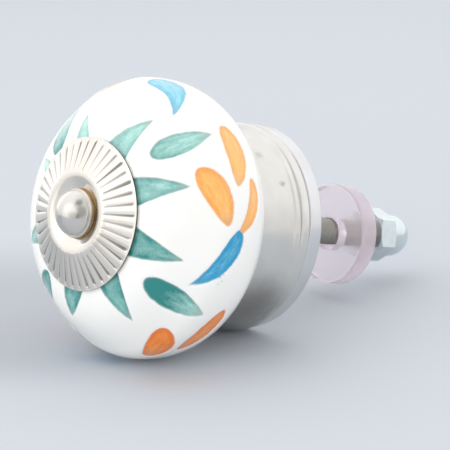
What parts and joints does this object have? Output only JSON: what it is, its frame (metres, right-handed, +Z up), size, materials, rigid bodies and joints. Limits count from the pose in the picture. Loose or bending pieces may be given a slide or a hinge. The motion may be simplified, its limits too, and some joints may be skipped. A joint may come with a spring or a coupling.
{
  "type": "cabinet knob",
  "caption": "Glazed ceramic cabinet knob with painted leaves, a fluted metal rosette and a round metal base, on a long bolt with a clear washer and cap nut.",
  "frame": {"origin": "centre of the flat back face of the base, on the bolt's axis, where the knob meets the drawer front", "axes": "+Y along the bolt from the front of the knob to the cap nut, +Z up, +X to the right when the front is seen"},
  "size_m": [0.04, 0.0683, 0.04],
  "materials": {
    "nickel": "bright nickel plate on pressed and turned steel",
    "polished_base": "polished nickel plate on drawn sheet",
    "glaze": "glossy white glaze with hand-painted leaves",
    "zinc_plate": "bright zinc plate with a faint blue-green tint",
    "clear_plastic": "clear moulded plastic with a faint lilac tint"
  },
  "bodies": {
    "root": {"bolt": "nickel", "front_rosette": "nickel", "ceramic_body": "glaze", "base_drum": "polished_base", "back_plate": "polished_base", "clamp_nut": "zinc_plate", "clear_washer": "clear_plastic", "cap_nut": "zinc_plate"}
  },
  "joints": []
}
